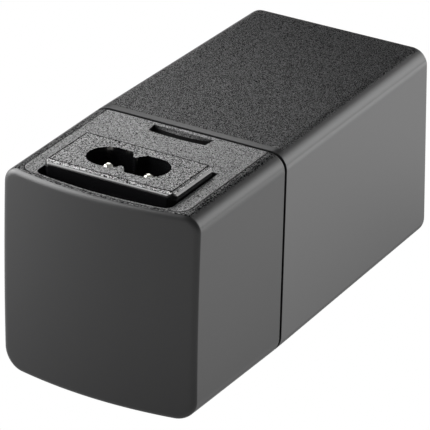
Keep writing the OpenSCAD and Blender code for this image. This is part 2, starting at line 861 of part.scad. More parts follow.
module fuse_tube() {
    tube_len = fuse_len - 2 * fuse_cap_t;
    color("lightblue")
        difference() {
            across(fuse_r, -tube_len / 2, tube_len);
            across(fuse_r - 2 * fuse_cap_t, -fuse_len / 2 - cut, fuse_len + 2 * cut);
        }
}

module fuse_caps() {
    color(nickel)
        for (side = [-1, 1])
            scale([side, 1, 1]) {
                difference() {
                    across(fuse_r + fuse_cap_t, fuse_len / 2 - fuse_cap_len, fuse_cap_len);
                    across(fuse_r, -cut, fuse_len / 2 - fuse_cap_t + cut);
                }
                translate([fuse_len / 2 - leg_r, fuse_y, deck_z])
                    cylinder(r = leg_r, h = fuse_z - fuse_r - deck_z);
            }
}

// A coated disc on two wire legs, with its flat faces to the front and the rear
module disc_part(r, t) {
    centre_z = leg_rise + r;
    translate([0, 0, centre_z])
        rotate([90, 0, 0])
            cylinder(r = r, h = t, center = true);
    for (side = [-1, 1])
        translate([side * r / 2, 0, 0])
            cylinder(r = leg_r, h = centre_z - r / 2);
}

module varistor() {
    x = pin_pitch / 2 + max(lead_r, pin_r) + shrink_wall + part_gap + varistor_r;
    color("royalblue")
        translate([-x, disc_y, deck_z])
            disc_part(varistor_r, varistor_t);
}

module thermistor() {
    x = pin_pitch / 2 + max(lead_r, pin_r) + shrink_wall + part_gap + thermistor_r;
    color("darkgreen")
        translate([x, disc_y, deck_z])
            disc_part(thermistor_r, thermistor_t);
}

module x_capacitor() {
    color("goldenrod")
        translate([-xcap_w / 2, xcap_y - xcap_d / 2, deck_z])
            cube([xcap_w, xcap_d, xcap_h]);
}

// A square-section ring that stands on edge, over a part of a turn
module standing_ring(r_in, r_out, t, start, turn) {
    translate([0, ring_y, ring_z])
        rotate([90, 0, 0])
            rotate([0, 0, start])
                rotate_extrude(angle = turn)
                    translate([r_in, -t / 2])
                        square([r_out - r_in, t]);
}

module choke_core() {
    color(ferrite)
        standing_ring(ring_hole_r, ring_r, ring_t, 0, 360);
}

module choke_windings() {
    turn = 180 - 2 * coil_free;
    color(copper)
        for (start = [-90 + coil_free, 90 + coil_free])
            difference() {
                standing_ring(ring_hole_r - coil_fit - coil_t, ring_r + coil_fit + coil_t,
                    ring_d, start, turn);
                standing_ring(ring_hole_r - coil_fit, ring_r + coil_fit,
                    ring_t + 2 * coil_fit, 0, 360);
            }
}

module choke_base() {
    seat_r = ring_r + coil_fit;
    half = seat_r * sin(coil_free / 2);
    color(epoxy) {
        translate([-ring_r, ring_y - ring_d / 2, deck_z])
            cube([2 * ring_r, ring_d, ring_base_t]);
        difference() {
            translate([-half, ring_y - ring_t / 2, deck_z])
                cube([2 * half, ring_t, ring_base_t + coil_t + 2 * coil_fit]);
            translate([0, ring_y, ring_z])
                rotate([90, 0, 0])
                    cylinder(r = ring_r, h = ring_t + 2 * cut, center = true);
        }
    }
}

module bridge_rectifier() {
    color(epoxy) {
        translate([-bridge_w / 2, bridge_y - bridge_d / 2, deck_z + leg_rise])
            cube([bridge_w, bridge_d, bridge_h]);
        for (i = [0:3])
            translate([bridge_w * (i / 3 - 1 / 2) * 3 / 4, bridge_y, deck_z])
                cylinder(r = leg_r, h = leg_rise + cut);
    }
}

// An upright can with a rounded foot groove and a flat top
module can(r, h) {
    bead = r / 10;
    rotate_extrude()
        polygon([[0, 0], [r, 0], [r, 2 * bead], [r - bead, 3 * bead], [r, 4 * bead],
            [r, h - bead], [r - bead, h], [0, h]]);
}

module bulk_capacitors() {
    color("midnightblue")
        for (side = [-1, 1])
            translate([side * (bulk_r + part_gap / 2), bulk_y, deck_z])
                can(bulk_r, bulk_h);
}

module transformer_core() {
    window_w = (core_w - core_leg) / 2 - core_yoke;
    color(ferrite)
        difference() {
            translate([-core_w / 2, core_y - core_d / 2, core_z])
                cube([core_w, core_d, core_h]);
            for (side = [-1, 1])
                translate([side * (core_leg + window_w) / 2 - window_w / 2,
                    core_y - core_d / 2 - cut, core_z + core_yoke])
                    cube([window_w, core_d + 2 * cut, window_h]);
        }
}

module bobbin_plate(z, t) {
    window_w = (core_w - core_leg) / 2 - core_yoke;
    w = core_leg + 2 * window_w - 2 * coil_fit;
    translate([-w / 2, core_y - bobbin_d / 2, z])
        cube([w, bobbin_d, t]);
}

module transformer_bobbin() {
    bore_w = core_leg + 2 * coil_fit;
    bore_d = core_d + 2 * coil_fit;
    low = core_z + core_yoke + coil_fit;
    high = core_z + core_h - core_yoke - coil_fit;
    color(epoxy) {
        difference() {
            union() {
                bobbin_plate(low, bobbin_t);
                bobbin_plate(high - bobbin_t, bobbin_t);
                translate([-bore_w / 2 - bobbin_t, core_y - bore_d / 2 - bobbin_t, low])
                    cube([bore_w + 2 * bobbin_t, bore_d + 2 * bobbin_t, high - low]);
            }
            translate([-bore_w / 2, core_y - bore_d / 2, low - cut])
                cube([bore_w, bore_d, high - low + 2 * cut]);
        }
        difference() {
            translate([-core_w / 2, core_y - bobbin_d / 2, deck_z])
                cube([core_w, bobbin_d, low - deck_z]);
            translate([-core_w / 2 - cut, core_y - core_d / 2 - coil_fit, core_z])
                cube([core_w + 2 * cut, core_d + 2 * coil_fit, low - core_z + cut]);
        }
    }
}

module transformer_winding() {
    window_w = (core_w - core_leg) / 2 - core_yoke;
    hole_w = core_leg + 4 * coil_fit + 2 * bobbin_t;
    hole_d = core_d + 4 * coil_fit + 2 * bobbin_t;
    w = core_leg + 2 * window_w - 2 * coil_fit - coil_inset;
    d = bobbin_d - 2 * coil_inset;
    low = core_z + core_yoke + bobbin_t + 2 * coil_fit;
    high = core_z + core_h - core_yoke - bobbin_t - 2 * coil_fit;
    color("gold")
        translate([0, core_y, 0])
            difference() {
                translate([-w / 2, -d / 2, low])
                    cube([w, d, high - low]);
                translate([-hole_w / 2, -hole_d / 2, low - cut])
                    cube([hole_w, hole_d, high - low + 2 * cut]);
            }
}

// An upright heat sink along one side of the board, with a hole for its screw
module heat_sink(side, y_mid) {
    difference() {
        translate([side * sink_x - sink_t / 2, y_mid - sink_len / 2, deck_z])
            cube([sink_t, sink_len, sink_h]);
        tab_bore(side, y_mid, tab_screw_r + screw_fit);
    }
}

// A round cut through a heat sink and the part that is screwed to it
module tab_bore(side, y_mid, r) {
    translate([side * board_w / 2, y_mid, deck_z + leg_rise + tab_hole_z])
        rotate([0, 90, 0])
            cylinder(r = r, h = 4 * tab_t, center = true);
}

// A three-legged power part, flat against the inner face of its heat sink
module tab_part(side, y_mid) {
    difference() {
        translate([side * tab_x - tab_t / 2, y_mid - tab_w / 2, deck_z + leg_rise])
            cube([tab_t, tab_w, tab_h]);
        tab_bore(side, y_mid, tab_screw_r + screw_fit);
    }
    for (i = [-1:1])
        translate([side * tab_x, y_mid + i * tab_w / 4, deck_z])
            cylinder(r = leg_r, h = leg_rise + cut);
}

module primary_heat_sink() {
    color(bare_metal)
        heat_sink(-1, core_y);
}

module switch_transistor() {
    color(epoxy)
        tab_part(-1, core_y);
}

module secondary_heat_sink() {
    color(bare_metal)
        heat_sink(1, sink2_y);
}

module output_rectifier() {
    color(epoxy)
        tab_part(1, sink2_y);
}

// A screw with its head outside the heat sink and its shank through the power part
module heat_sink_screws() {
    color(nickel)
        for (place = [[-1, core_y], [1, sink2_y]])
            scale([place.x, 1, 1])
                translate([board_w / 2, place.y, deck_z + leg_rise + tab_hole_z])
                    rotate([0, -90, 0]) {
                        cylinder(r = tab_screw_r, h = sink_t + tab_t);
                        translate([0, 0, -board_gap])
                            cylinder(r = tab_head_r, h = board_gap);
                    }
}

module controller_chip() {
    color(epoxy)
        translate([-chip_w / 2, core_y - chip_len / 2, board_z - chip_h])
            cube([chip_w, chip_len, chip_h]);
}

module y_capacitor() {
    color("steelblue")
        translate([ycap_x, ycap_y, deck_z])
            rotate([0, 0, 90])
                disc_part(ycap_r, ycap_t);
}

module optocoupler() {
    color(epoxy)
        translate([opto_x - opto_w / 2, opto_y - opto_len / 2, deck_z])
            cube([opto_w, opto_len, opto_h]);
}

module output_capacitors() {
    color("darkslategray")
        for (i = [0, 1])
            translate([-board_w / 2 + outcap_r + part_gap + i * (2 * outcap_r + part_gap),
                outcap_y, deck_z])
                can(outcap_r, outcap_h);
}

module output_choke() {
    x = -board_w / 2 + 4 * outcap_r + 3 * part_gap + drum_r;
    color(ferrite)
        translate([x, outcap_y, deck_z])
            can(drum_r, drum_h);
}

rear_sleeve();
front_cap();
inlet_panel();
inlet_body();
inlet_pins();
inlet_leads();
tail_sleeves();
output_socket();
socket_pin();
socket_contact();
circuit_board();
board_screws();
insulating_sheet();
fuse_tube();
fuse_caps();
varistor();
thermistor();
x_capacitor();
choke_core();
choke_windings();
choke_base();
bridge_rectifier();
bulk_capacitors();
transformer_core();
transformer_bobbin();
transformer_winding();
primary_heat_sink();
switch_transistor();
controller_chip();
y_capacitor();
optocoupler();
output_rectifier();
secondary_heat_sink();
output_capacitors();
output_choke();
heat_sink_screws();
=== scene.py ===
"""Looks of the mains adapter: smooth shells, grained plastics, a pale floor and studio light."""
import math

import bmesh
import bpy
import numpy as np
from mathutils import Matrix, Vector


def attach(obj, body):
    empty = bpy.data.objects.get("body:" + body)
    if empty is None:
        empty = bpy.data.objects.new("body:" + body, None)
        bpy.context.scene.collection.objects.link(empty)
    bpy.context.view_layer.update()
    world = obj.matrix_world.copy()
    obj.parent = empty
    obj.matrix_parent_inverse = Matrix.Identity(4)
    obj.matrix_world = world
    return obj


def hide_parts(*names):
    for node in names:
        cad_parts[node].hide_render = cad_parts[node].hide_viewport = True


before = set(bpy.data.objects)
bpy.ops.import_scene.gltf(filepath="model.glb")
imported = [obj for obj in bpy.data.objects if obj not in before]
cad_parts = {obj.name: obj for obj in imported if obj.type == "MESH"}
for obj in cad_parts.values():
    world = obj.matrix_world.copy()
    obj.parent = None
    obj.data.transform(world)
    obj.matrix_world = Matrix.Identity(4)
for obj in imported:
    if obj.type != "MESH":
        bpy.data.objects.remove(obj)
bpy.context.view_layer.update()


# Metres in a millimetre
MM = 0.001

# Sizes in millimetres, as in the part's source, but for PANEL_FIT and RIDGE_DROP: they are 0.12 and
# 0.05 there, which is too little to show. RIM_R, CAP_RIM_R, ROOT_STOP, BEVEL_EASE, CORNER_LEAST,
# CORNER_EASE and the groove's sizes are only here.

# Casing
BODY_W = 42.0
BODY_H = 42.0
CAP_LEN = 34.0
SLEEVE_LEN = 61.5
REAR_LEAN = 3.0
FRONT_NARROW = 0.5
FRONT_DROP = 0.25
FRONT_LIFT = 0.3
REAR_NARROW = 1.6
REAR_DROP = 0.15
CROWN = 2.7
CROWN_RISE = 0.4
WALL = 2.0
TOP_WALL = 3.0
# Rounded edges of the casing
R_TOP = 3.4
R_BASE = 4.2
R_END = 1.2
R_LEAST = 0.6
FRONT_DEPTH = 0.8
RIM_R = 0.06
CAP_RIM_R = 0.6
# Split between cap and sleeve, and the cap's tongue
SPLIT_GAP = 0.35
TONGUE_LEN = 3.0
TONGUE_T = 1.0
TONGUE_FIT = 0.12
ROOT_LEN = 3.0
ROOT_STOP = 0.4
# Inlet panel, and the gap between it and the block
PANEL_W = 34.6
PANEL_LEN = 32.25
PANEL_T = 1.5
PANEL_R = 2.6
PANEL_FIT = 0.18
GAP = 0.3
GAP_FRONT = 31.85
GAP_R = 1.8
GAP_SINK = 0.6
# Inlet block: bevel, cut corners, fine groove round the top, flange below
BLOCK_W = 27.9
BLOCK_D = 15.1
BLOCK_RISE = 1.75
BLOCK_BEVEL = 0.85
BEVEL_EASE = 0.28
BLOCK_CORNER = 1.3
CORNER_LEAST = 0.06
CORNER_EASE = 0.25
GROOVE_W = 0.2
GROOVE_D = 0.2
GROOVE_LEAN = 0.02
INLET_BACK = 21.3
WINDOW_FIT = 0.1
FLANGE_W = 1.0
FLANGE_T = 1.5
# Opening of the inlet, and the holes for its pins
HOLLOW_DEPTH = 12.0
INLET_WALL = 1.8
INLET_FLOOR = 2.5
PIN_PITCH = 8.6
PIN_HOLE_R = 1.25
LOBE_R = 4.1
TOOTH_W = 3.2
TOOTH_H = 1.9
TOOTH_TIP_R = 0.55
# Latch slot
SLOT_LEN = 13.0
SLOT_REAR = 1.7
SLOT_W = 2.6
SLOT_BOW = 0.45
SLOT_LEAN = 0.4
SLOT_DEPTH = 2.5
RIDGES = 4
RIDGE_REACH = 0.22
RIDGE_DROP = 0.09
# Round hole in the rear wall
HOLE_R = 4.1
HOLE_Z = 13.1
HOLE_REACH = 9.0

TOTAL = CAP_LEN + SLEEVE_LEN
Y_FRONT = -TOTAL / 2
Y_SPLIT = Y_FRONT + CAP_LEN
Y_REAR = TOTAL / 2
RIM_Y = Y_SPLIT - SPLIT_GAP / 2
TILT = math.atan(FRONT_DROP / CAP_LEN)
INLET_Y = Y_SPLIT - INLET_BACK
BLOCK_TOP = BODY_H + BLOCK_RISE
FLANGE_TOP = BODY_H - FRONT_DROP - TOP_WALL
SLOT_FOOT = SLOT_REAR + RIDGES * RIDGE_REACH

# How far a cutting tool reaches past what it cuts, in millimetres
CUT = 1.0
# Steps of a casing section: round a corner, along the top or base, up a side
CORNER_STEPS, LEVEL_STEPS, SIDE_STEPS = 14, 40, 24
# Rings of the front face, outside and inside, as shares of the full section
FACE_SHARES = np.linspace(0.04, 0.96, 14)
INNER_SHARES = np.linspace(0.9, 0.1, 5)

# Shapes


def corner(side, level, up, r, first):
    """Rounded corner: rows of (side, r(1 - cos a), level - up r(1 - sin a)), a from first by 90 degrees."""
    a = np.radians(np.abs(first - np.linspace(0, 90, CORNER_STEPS + 1)))
    return np.stack([np.full_like(a, side), r * (1 - np.cos(a)), level - up * r * (1 - np.sin(a))], 1)


def run(a, b, steps):
    """Inner points of the straight run from a to b."""
    t = (np.arange(1, steps) / steps)[:, None]
    return np.array(a) + (np.array(b) - np.array(a)) * t


def outline(top, base, inset):
    """Rounded section seen from the front, as rows of (share of the width, set back, height)."""
    r_top, r_base = max(R_TOP - inset, R_LEAST), max(R_BASE - inset, R_LEAST)
    return np.concatenate([
        corner(1, top, 1, r_top, 0),
        run((1, r_top, top), (-1, r_top, top), LEVEL_STEPS),
        corner(-1, top, 1, r_top, 90),
        run((-1, 0, top - r_top), (-1, 0, base + r_base), SIDE_STEPS),
        corner(-1, base, -1, r_base, 0),
        run((-1, r_base, base), (1, r_base, base), LEVEL_STEPS),
        corner(1, base, -1, r_base, 90),
        run((1, 0, base + r_base), (1, 0, top - r_top), SIDE_STEPS),
    ])


def sleeve_ring(inset, setback=None, y=None):
    """Sleeve section: x = u(w(y)/2 - inset - s), on plane y or on the rear wall y = Y_REAR - lean z/H."""
    u, s, z = outline(BODY_H - inset, inset, inset).T
    y = np.full_like(z, y) if setback is None else Y_REAR - REAR_LEAN * z / BODY_H - setback
    share = (y - Y_SPLIT) / SLEEVE_LEN
    half = (BODY_W - REAR_NARROW * share) / 2 - inset
    return np.stack([u * (half - s), y, z - REAR_DROP * share * z / BODY_H], 1)


def cap_ring(inset, top_inset, y):
    """Cap section at plane y: x = u(w(y)/2 - inset - s), its top falling and its base rising forwards."""
    share = (Y_SPLIT - y) / CAP_LEN
    u, s, z = outline(BODY_H - FRONT_DROP * share - top_inset, inset + FRONT_LIFT * share, inset).T
    half = (BODY_W - FRONT_NARROW * share) / 2 - inset
    return np.stack([u * (half - s), np.full_like(z, y), z], 1)


def face_ring(inset, top_inset, setback, share=1.0):
    """Cap section on the crown: y = Y_FRONT + setback + c(2x/W)^2 + d(2z/H - 1)^2, shrunk to a share."""
    x, _, z = cap_ring(inset, top_inset, Y_FRONT).T
    x = x * share
    z = BODY_H / 2 + (z - BODY_H / 2) * share
    y = Y_FRONT + setback + CROWN * (2 * x / BODY_W) ** 2 + CROWN_RISE * (2 * z / BODY_H - 1) ** 2
    return np.stack([x, y, z], 1)


def end_round(r, depth, steps):
    """Rows of (inset, setback) round an end edge: r(1 - cos a), depth(1 - sin a)."""
    a = np.linspace(0, math.pi / 2, steps + 1)
    return np.stack([r * (1 - np.cos(a)), depth * (1 - np.sin(a))], 1)


def mesh_object(name, points, faces):
    """A mesh object at the origin, from points in millimetres and faces; a closed one faces outwards."""
    mesh = bpy.data.meshes.new(name)
    mesh.from_pydata((np.asarray(points) * MM).tolist(), [], faces)
    bm = bmesh.new()
    bm.from_mesh(mesh)
    if bm.calc_volume(signed=True) < 0:
        mesh.flip_normals()
    bm.free()
    obj = bpy.data.objects.new(name, mesh)
    bpy.context.scene.collection.objects.link(obj)
    return obj


def loft(name, rings, closed=False):
    """Solid over rings of equal length: a flat fan at each end or, closed, the last ring meets the first."""
    count, n = len(rings), len(rings[0])
    points = np.concatenate(rings)
    i = np.arange(n)
    j = (i + 1) % n
    k = np.arange(count if closed else count - 1)[:, None] * n
    after = (k + n) % (count * n)
    faces = np.stack([k + i, k + j, after + j, after + i], -1).reshape(-1, 4).tolist()
    if not closed:
        last = (count - 1) * n
        points = np.concatenate([points, [rings[0].mean(0), rings[-1].mean(0)]])
        faces += np.stack([np.full(n, count * n), j, i], 1).tolist()
        faces += np.stack([np.full(n, count * n + 1), last + i, last + j], 1).tolist()
    return mesh_object(name, points, faces)


def prism(name, plan, low, high):
    """Upright prism over plan, a closed run of (x, y) points."""
    plan = np.asarray(plan, float)
    n = len(plan)
    points = np.concatenate([np.c_[plan, np.full(n, low)], np.c_[plan, np.full(n, high)]])
    i = np.arange(n)
    j = (i + 1) % n
    walls = np.stack([i, j, n + j, n + i], 1).tolist()
    return mesh_object(name, points, walls + [list(range(n - 1, -1, -1)), list(range(n, 2 * n))])


def box_plan(x0, y0, x1, y1):
    """Corners of an upright box, anticlockwise."""
    return [(x0, y0), (x1, y0), (x1, y1), (x0, y1)]


def box(name, low, high):
    """Box between two opposite corners."""
    return prism(name, box_plan(low[0], low[1], high[0], high[1]), low[2], high[2])


def bar(name, profile, half):
    """Prism along X over a closed run of (y, z) points."""
    obj = prism(name, profile, -half, half)
    obj.data.transform(Matrix(((0, 0, 1, 0), (1, 0, 0, 0), (0, 1, 0, 0), (0, 0, 0, 1))))
    return obj


def on_cap_top(obj):
    """Lays an object drawn from the split line on to the cap's sloping top."""
    place = Matrix.Translation((0, Y_SPLIT * MM, BODY_H * MM)) @ Matrix.Rotation(TILT, 4, "X")
    obj.data.transform(place)
    return obj


def combine(target, tool, operation="DIFFERENCE"):
    """Cuts the tool from the target or joins it, and removes the tool."""
    mod = target.modifiers.new("combine", "BOOLEAN")
    mod.operation = operation
    mod.solver = "EXACT"
    mod.object = tool
    graph = bpy.context.evaluated_depsgraph_get()
    mesh = bpy.data.meshes.new_from_object(target.evaluated_get(graph))
    target.modifiers.clear()
    target.data = mesh
    bpy.data.objects.remove(tool)
    return target


def smooth(obj, angle=30):
    """Smooth shading with sharp edges over an angle, and normals that keep flat faces flat."""
    obj.data.polygons.foreach_set("use_smooth", [True] * len(obj.data.polygons))
    obj.data.set_sharp_from_angle(angle=math.radians(angle))
    mod = obj.modifiers.new("flat faces", "WEIGHTED_NORMAL")
    mod.keep_sharp = True
    return obj


def arc_points(cx, cy, r, start, stop, steps):
    """Points round a circle from start to stop degrees."""
    a = np.radians(np.linspace(start, stop, steps + 1))
    return np.stack([cx + r * np.cos(a), cy + r * np.sin(a)], 1)


def circle(cx, cy, r, steps):
    """Points round a whole circle, the first one once."""
    return arc_points(cx, cy, r, 0, 360, steps)[:-1]


def bowed_plan(half, front, rear, r):
    """Plan with round front corners and the front edge y = c(2x/W)^2 - front, bowed like the face."""
    x = np.linspace(r - half, half - r, 41)
    mid = np.stack([x, CROWN * (2 * x / BODY_W) ** 2 - front], 1)
    level = mid[0][1] + r
    return np.concatenate([[(half, rear), (-half, rear)],
                           arc_points(r - half, level, r, 180, 270, 16)[:-1], mid,
                           arc_points(half - r, level, r, 270, 360, 16)[1:]])


def gap_tool(sink):
    """Cut of the gap round the block, down to sink below the panel."""
    plan = bowed_plan(BLOCK_W / 2 + GAP, GAP_FRONT, BLOCK_D / 2 + GAP - INLET_BACK, GAP_R)
    return prism("gap", plan, -PANEL_T - sink, CUT)


def slot_tool():
    """Cut of the latch slot: bowed at the front, with a ridge left at each step of its rear edge."""
    x = np.linspace(-1, 1, 41) * (SLOT_LEN / 2 - SLOT_LEAN)
    bow = SLOT_BOW * (1 - (2 * x / SLOT_LEN) ** 2)
    front = np.stack([x, -SLOT_REAR - SLOT_W - bow], 1)
    plan = np.concatenate([[(SLOT_LEN / 2, -SLOT_REAR), (-SLOT_LEN / 2, -SLOT_REAR)], front])
    tool = prism("slot", plan, -PANEL_T - CUT, CUT)
    x = np.linspace(-1, 1, 61) * SLOT_LEN / 2
    for i in range(1, RIDGES + 1):
        edge = np.stack([x, -SLOT_REAR - i * RIDGE_REACH * (1 - (2 * x / SLOT_LEN) ** 2)], 1)
        plan = np.concatenate([edge, [(SLOT_LEN / 2, 0), (-SLOT_LEN / 2, 0)]])
        combine(tool, prism("ridge", plan, -PANEL_T - 2 * CUT, -i * RIDGE_DROP))
    return tool


def panel_shape():
    """Inlet panel with its gap and slot, its rear edge rounded like the cap's rim."""
    edge = RIM_Y - Y_SPLIT
    obj = prism("inlet_panel_plate", bowed_plan(PANEL_W / 2, PANEL_LEN, edge, PANEL_R), -PANEL_T, 0)
    combine(obj, gap_tool(CUT))
    combine(obj, slot_tool())
    round_edge = arc_points(edge - CAP_RIM_R, -CAP_RIM_R, CAP_RIM_R, 90, 0, 8)
    outer = [(edge + CUT, -CAP_RIM_R), (edge + CUT, CUT), (edge - CAP_RIM_R, CUT)]
    waste = bar("waste", np.concatenate([round_edge, outer]), PANEL_W)
    return smooth(on_cap_top(combine(obj, waste)))


def block_ring(inset, z):
    """Plan of the raised block at one inset and height: a rectangle with its corners cut.

    Each of its eight turns is eased by the curve (1 - t)^2 a + 2t(1 - t) turn + t^2 b.
    """
    x, y = BLOCK_W / 2 - inset, BLOCK_D / 2 - inset
    c = max(BLOCK_CORNER - 2 * inset, CORNER_LEAST)
    turns = np.array([(x, -y + c), (x, y - c), (x - c, y), (-x + c, y),
                      (-x, y - c), (-x, -y + c), (-x + c, -y), (x - c, -y)])
    before = np.roll(turns, 1, 0) - turns
    after = np.roll(turns, -1, 0) - turns
    ease = min(CORNER_EASE, 0.45 * c)
    a = turns + ease * before / np.linalg.norm(before, axis=1)[:, None]
    b = turns + ease * after / np.linalg.norm(after, axis=1)[:, None]
    t = np.linspace(0, 1, 5)[:, None, None]
    plan = ((1 - t) ** 2 * a + 2 * t * (1 - t) * turns + t ** 2 * b).transpose(1, 0, 2).reshape(-1, 2)
    return np.c_[plan[:, 0], plan[:, 1] + INLET_Y, np.full(len(plan), z)]


def hollow_plan():
    """Figure of eight: a lobe round each pin, and two blunt teeth at the waist."""
    tip = LOBE_R - TOOTH_H + TOOTH_TIP_R
    side = np.concatenate([arc_points(PIN_PITCH / 2, 0, LOBE_R, -90, 90, 36), [(TOOTH_W / 2, LOBE_R)],
                           arc_points(0, tip, TOOTH_TIP_R, 0, -180, 12), [(-TOOTH_W / 2, LOBE_R)]])
    return np.concatenate([side, -side]) + (0, INLET_Y)


def inlet_shape():
    """Inlet body: the block with its eased bevel and the fine groove round its top, over flange and well."""
    t = np.linspace(0, 1, 9)
    ease = BEVEL_EASE / BLOCK_BEVEL
    inset = BLOCK_BEVEL * (2 * t * (1 - t) * ease + t ** 2)
    drop = BLOCK_BEVEL * ((1 - t) ** 2 + 2 * t * (1 - t) * ease)
    groove = BLOCK_BEVEL + GROOVE_LEAN
    rings = [block_ring(0, FLANGE_TOP - FLANGE_T / 2)]
    rings += [block_ring(i, BLOCK_TOP - d) for i, d in zip(inset, drop)]
    rings += [block_ring(groove, BLOCK_TOP - GROOVE_D),
              block_ring(groove + GROOVE_W, BLOCK_TOP - GROOVE_D),
              block_ring(groove + GROOVE_W + GROOVE_LEAN, BLOCK_TOP)]
    obj = loft("inlet_body_shape", rings)
    span = BLOCK_W / 2 + FLANGE_W
    flange = box("flange", (-span, INLET_Y - BLOCK_D / 2 + BLOCK_CORNER, FLANGE_TOP - FLANGE_T),
                 (span, INLET_Y + BLOCK_D / 2 + FLANGE_W, FLANGE_TOP))
    combine(obj, flange, "UNION")
    wide, deep = PIN_PITCH / 2 + LOBE_R + INLET_WALL, LOBE_R + INLET_WALL
    hollow_z = BLOCK_TOP - HOLLOW_DEPTH
    floor_z = hollow_z - INLET_FLOOR
    well = box("well", (-wide, INLET_Y - deep, floor_z), (wide, INLET_Y + deep, FLANGE_TOP - CUT))
    combine(obj, well, "UNION")
    combine(obj, prism("hollow", hollow_plan(), hollow_z, BLOCK_TOP + CUT))
    for side in (-1, 1):
        bore = circle(side * PIN_PITCH / 2, INLET_Y, PIN_HOLE_R, 32)
        combine(obj, prism("bore", bore, floor_z - CUT, hollow_z + CUT))
    return smooth(obj, 20)


def sleeve_shape():
    """Rear sleeve in one surface, from the hollow over the rim to the outside, with its round rear hole."""
    start = RIM_Y + SPLIT_GAP
    inside = [sleeve_ring(WALL + i, setback=WALL + d) for i, d in end_round(R_LEAST, R_LEAST, 3)[::-1]]
    inside += [sleeve_ring(WALL, y=start)]
    rim = [sleeve_ring(i, y=start + d) for i, d in end_round(RIM_R, RIM_R, 4)[::-1]]
    rear = [sleeve_ring(i, setback=d) for i, d in end_round(R_END, R_END, 10)]
    obj = loft("rear_sleeve_shell", inside + rim + rear)
    hole = prism("hole", circle(0, 0, HOLE_R, 64), -HOLE_REACH, CUT)
    place = Matrix.Translation((0, (Y_REAR + CUT) * MM, HOLE_Z * MM))
    hole.data.transform(place @ Matrix.Rotation(-math.pi / 2, 4, "X"))
    return smooth(combine(obj, hole))


def cap_shape():
    """Front cap in one surface, from the crowned face over the rim into the hollow.

    The panel's pocket, the gap, the latch slot and the inlet's window are cut, and the tongue is joined last.
    """
    face = [face_ring(R_END, R_END, 0.0, s) for s in FACE_SHARES]
    edge = [face_ring(i, i, d) for i, d in end_round(R_END, FRONT_DEPTH, 10)[::-1]]
    rim = [cap_ring(i, i, RIM_Y - d) for i, d in end_round(CAP_RIM_R, CAP_RIM_R, 8)]
    inside = [cap_ring(WALL, TOP_WALL, RIM_Y)]
    inside += [face_ring(WALL + i, TOP_WALL + i, WALL + d) for i, d in end_round(R_LEAST, R_LEAST, 3)]
    inside += [face_ring(WALL + R_LEAST, TOP_WALL + R_LEAST, WALL, s) for s in INNER_SHARES]
    obj = loft("front_cap_shell", face + edge + rim + inside)
    pocket = bowed_plan(PANEL_W / 2 + PANEL_FIT, PANEL_LEN + PANEL_FIT, CUT, PANEL_R + PANEL_FIT)
    combine(obj, on_cap_top(prism("pocket", pocket, -PANEL_T, CUT)))
    combine(obj, on_cap_top(gap_tool(GAP_SINK)))
    half = SLOT_LEN / 2 - SLOT_LEAN
    slot = box_plan(-half, -SLOT_REAR - SLOT_W, half, -SLOT_FOOT)
    combine(obj, on_cap_top(prism("slot", slot, -PANEL_T - SLOT_DEPTH, CUT)))
    x, y = BLOCK_W / 2 + WINDOW_FIT, BLOCK_D / 2 + WINDOW_FIT
    window = box_plan(-x, INLET_Y - y, x, INLET_Y + y)
    combine(obj, prism("window", window, FLANGE_TOP - CUT, BODY_H + CUT))
    root, stop, tip = Y_SPLIT - ROOT_LEN, RIM_Y - ROOT_STOP, Y_SPLIT + TONGUE_LEN
    low = TONGUE_FIT + TONGUE_T
    places = ((-TONGUE_FIT, root), (-TONGUE_FIT, stop), (TONGUE_FIT, stop), (TONGUE_FIT, tip), (low, tip),
              (low, root))
    tongue = [cap_ring(WALL + i, TOP_WALL + i, y) for i, y in places]
    return smooth(combine(obj, loft("tongue", tongue, True), "UNION"))


# Materials

# A face looks up, or sideways, from the first of these heights of its normal, and fully at the second
UP_FROM, UP_FULL = 0.85, 0.97
FLANK_FROM, FLANK_FULL = 0.93, 0.995
# Values of the noise that stand for the deepest pit and the highest peak
PIT, PEAK = 0.38, 0.62
# The shader's own specular level
PLAIN_LEVEL = 0.5
# Width of the line over which the sleeve's grain starts, and how far it is from the split, in millimetres
START_FADE = 0.1
GRAIN_START = 1.8


def linear(code):
    """Linear colour from an sRGB hex code: ((c + 0.055) / 1.055)^2.4, or c / 12.92 where c is small."""
    c = np.array([int(code[i:i + 2], 16) for i in (1, 3, 5)]) / 255
    c = np.where(c <= 0.04045, c / 12.92, ((c + 0.055) / 1.055) ** 2.4)
    return (*[float(v) for v in c], 1.0)


def new_material(name, code, rough, metallic=0.0):
    """A material of one colour and roughness, with its node tree and its shader."""
    mat = bpy.data.materials.new(name)
    mat.use_nodes = True
    shader = mat.node_tree.nodes["Principled BSDF"]
    shader.inputs["Base Color"].default_value = linear(code)
    shader.inputs["Roughness"].default_value = rough
    shader.inputs["Metallic"].default_value = metallic
    return mat, mat.node_tree, shader


def add(tree, kind, *feeds, **named):
    """Adds a node: feeds go to its first inputs in turn, the named ones to the input or setting so named.

    An output is linked, and anything else is set as it is.
    """
    node = tree.nodes.new(kind)
    for key, value in [*enumerate(feeds), *named.items()]:
        socket = key if isinstance(key, int) else key.replace("_", " ").title()
        if isinstance(key, str) and socket not in node.inputs:
            setattr(node, key, value)
        elif isinstance(value, bpy.types.NodeSocket):
            tree.links.new(value, node.inputs[socket])
        else:
            node.inputs[socket].default_value = value
    return node


